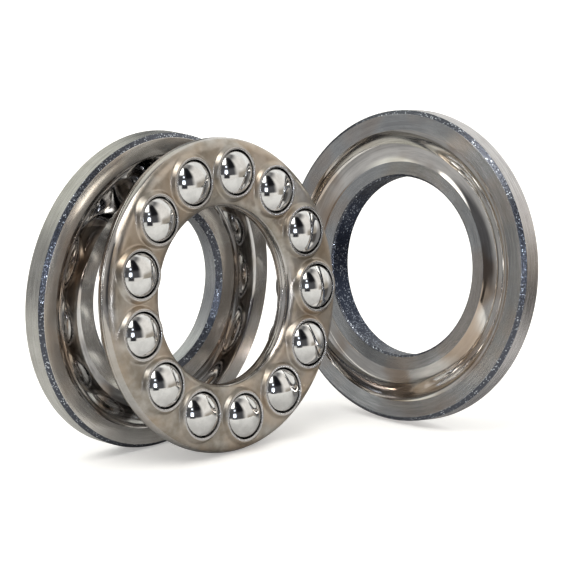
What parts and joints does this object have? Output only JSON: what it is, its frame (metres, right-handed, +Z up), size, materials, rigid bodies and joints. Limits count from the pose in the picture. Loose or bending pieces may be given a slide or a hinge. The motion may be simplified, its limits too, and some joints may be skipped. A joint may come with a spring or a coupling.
{
  "type": "thrust ball bearing",
  "caption": "Single-direction thrust ball bearing shown opened on its rims: shaft washer, caged balls leaning on it, and housing washer.",
  "frame": {"origin": "middle of the opened bearing's footprint, on the surface its rims stand on", "axes": "+Z up; +X along the row of pieces, from the shaft washer to the housing washer; -Y the side the three pieces open towards"},
  "size_m": [0.0748, 0.0518, 0.0469],
  "materials": {
    "washer_steel": "ground and lapped bearing steel, polished raceway, rough dark chamfers",
    "cage_steel": "bright pressed steel sheet with a warm tint, rounded edges",
    "ball_steel": "mirror-polished bearing steel"
  },
  "bodies": {
    "housing_washer": {"housing_washer": "washer_steel"},
    "shaft_washer": {"shaft_washer": "washer_steel"},
    "cage": {"cage_front_half": "cage_steel", "cage_rear_half": "cage_steel"},
    "ball_01": {"ball_01": "ball_steel"},
    "ball_02": {"ball_02": "ball_steel"},
    "ball_03": {"ball_03": "ball_steel"},
    "ball_04": {"ball_04": "ball_steel"},
    "ball_05": {"ball_05": "ball_steel"},
    "ball_06": {"ball_06": "ball_steel"},
    "ball_07": {"ball_07": "ball_steel"},
    "ball_08": {"ball_08": "ball_steel"},
    "ball_09": {"ball_09": "ball_steel"},
    "ball_10": {"ball_10": "ball_steel"},
    "ball_11": {"ball_11": "ball_steel"},
    "ball_12": {"ball_12": "ball_steel"},
    "ball_13": {"ball_13": "ball_steel"}
  },
  "joints": [
    {"name": "shaft_washer_spin", "type": "hinge", "parent": "housing_washer", "child": "shaft_washer", "pos_m": [-0.02016, -0.00635, 0.02345], "axis": [0.7181, -0.6959, 0], "continuous": true},
    {"name": "cage_spin", "type": "hinge", "parent": "housing_washer", "child": "cage", "pos_m": [-0.00978, -0.00833, 0.02301], "axis": [0.7051, -0.6953, 0.1392], "continuous": true},
    {"name": "ball_01_spin", "type": "hinge", "parent": "cage", "child": "ball_01", "pos_m": [0.0013, 0.00428, 0.02984], "axis": [0.6114, 0.6955, 0.3774], "continuous": true},
    {"name": "ball_02_spin", "type": "hinge", "parent": "cage", "child": "ball_02", "pos_m": [-0.00299, 0.00131, 0.03677], "axis": [0.3745, 0.5318, 0.7596], "continuous": true},
    {"name": "ball_03_spin", "type": "hinge", "parent": "cage", "child": "ball_03", "pos_m": [-0.00884, -0.00387, 0.04054], "axis": [0.0517, 0.2462, 0.9678], "continuous": true},
    {"name": "ball_04_spin", "type": "hinge", "parent": "cage", "child": "ball_04", "pos_m": [-0.0149, -0.01006, 0.0403], "axis": [-0.2829, -0.0958, 0.9544], "continuous": true},
    {"name": "ball_05_spin", "type": "hinge", "parent": "cage", "child": "ball_05", "pos_m": [-0.01979, -0.01586, 0.03609], "axis": [-0.5527, -0.4159, 0.7222], "continuous": true},
    {"name": "ball_06_spin", "type": "hinge", "parent": "cage", "child": "ball_06", "pos_m": [-0.02239, -0.01994, 0.02889], "axis": [-0.6958, -0.6406, 0.3247], "continuous": true},
    {"name": "ball_07_spin", "type": "hinge", "parent": "cage", "child": "ball_07", "pos_m": [-0.02209, -0.02135, 0.02034], "axis": [-0.6796, -0.7186, -0.1473], "continuous": true},
    {"name": "ball_08_spin", "type": "hinge", "parent": "cage", "child": "ball_08", "pos_m": [-0.01898, -0.01978, 0.0124], "axis": [-0.5077, -0.632, -0.5855], "continuous": true},
    {"name": "ball_09_spin", "type": "hinge", "parent": "cage", "child": "ball_09", "pos_m": [-0.01376, -0.01559, 0.00689], "axis": [-0.2195, -0.4006, -0.8896], "continuous": true},
    {"name": "ball_10_spin", "type": "hinge", "parent": "cage", "child": "ball_10", "pos_m": [-0.00762, -0.00973, 0.00507], "axis": [0.119, -0.0774, -0.9899], "continuous": true},
    {"name": "ball_11_spin", "type": "hinge", "parent": "cage", "child": "ball_11", "pos_m": [-0.00198, -0.00355, 0.00736], "axis": [0.4303, 0.2635, -0.8634], "continuous": true},
    {"name": "ball_12_spin", "type": "hinge", "parent": "cage", "child": "ball_12", "pos_m": [0.00187, 0.00153, 0.01324], "axis": [0.6429, 0.5441, -0.5391], "continuous": true},
    {"name": "ball_13_spin", "type": "hinge", "parent": "cage", "child": "ball_13", "pos_m": [0.00305, 0.00436, 0.02135], "axis": [0.7083, 0.7, -0.0913], "continuous": true}
  ],
  "couplings": [
    {"joint": "cage_spin", "follows": "shaft_washer_spin", "ratio": 0.5},
    {"joint": "ball_01_spin", "follows": "shaft_washer_spin", "ratio": 2.2827},
    {"joint": "ball_02_spin", "follows": "shaft_washer_spin", "ratio": 2.2827},
    {"joint": "ball_03_spin", "follows": "shaft_washer_spin", "ratio": 2.2827},
    {"joint": "ball_04_spin", "follows": "shaft_washer_spin", "ratio": 2.2827},
    {"joint": "ball_05_spin", "follows": "shaft_washer_spin", "ratio": 2.2827},
    {"joint": "ball_06_spin", "follows": "shaft_washer_spin", "ratio": 2.2827},
    {"joint": "ball_07_spin", "follows": "shaft_washer_spin", "ratio": 2.2827},
    {"joint": "ball_08_spin", "follows": "shaft_washer_spin", "ratio": 2.2827},
    {"joint": "ball_09_spin", "follows": "shaft_washer_spin", "ratio": 2.2827},
    {"joint": "ball_10_spin", "follows": "shaft_washer_spin", "ratio": 2.2827},
    {"joint": "ball_11_spin", "follows": "shaft_washer_spin", "ratio": 2.2827},
    {"joint": "ball_12_spin", "follows": "shaft_washer_spin", "ratio": 2.2827},
    {"joint": "ball_13_spin", "follows": "shaft_washer_spin", "ratio": 2.2827}
  ]
}
